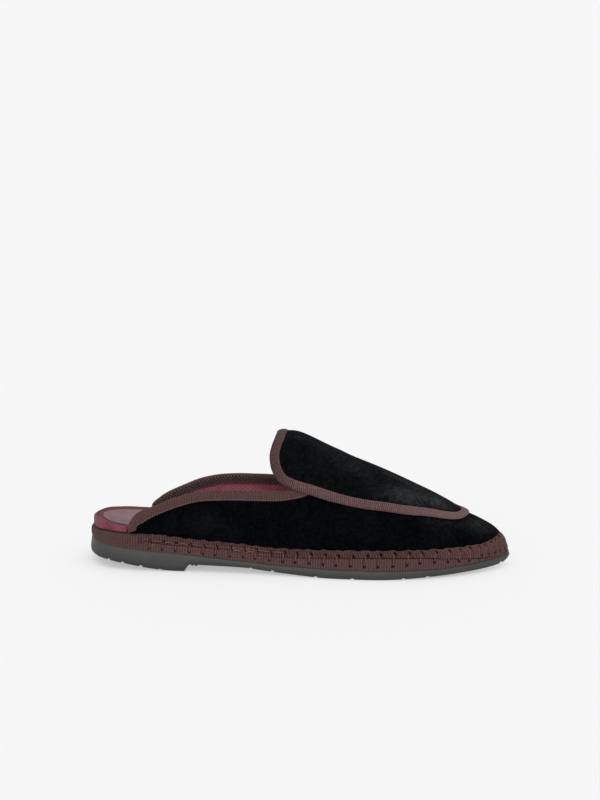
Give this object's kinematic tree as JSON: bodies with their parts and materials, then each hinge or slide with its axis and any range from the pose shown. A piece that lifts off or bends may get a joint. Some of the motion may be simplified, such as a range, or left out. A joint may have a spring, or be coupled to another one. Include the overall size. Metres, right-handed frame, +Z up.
{
  "type": "backless slipper loafer",
  "caption": "Backless velvet slipper loafer, right foot: pointed toe, bound apron with a free tab, low quarters with ribbon edges, stitched rand and a rubber sole with a low heel.",
  "frame": {"origin": "on the ground under the middle of the shoe's box", "axes": "+X from heel to toe, -Y the outer side of the foot, +Z up"},
  "size_m": [0.265, 0.087, 0.0851],
  "materials": {
    "rubber_sole": "matt dark grey rubber",
    "ribbon": "ribbed grosgrain ribbon",
    "insole_cloth": "burgundy twill",
    "pad_cloth": "smooth mauve cloth",
    "velvet": "black velvet"
  },
  "bodies": {
    "root": {"outsole": "rubber_sole", "midsole": "ribbon", "rand": "ribbon", "insole": "insole_cloth", "heel_pad": "pad_cloth", "upper": "velvet", "apron": "velvet", "apron_binding": "ribbon", "collar_binding_lateral": "ribbon", "collar_binding_medial": "ribbon"}
  },
  "joints": []
}
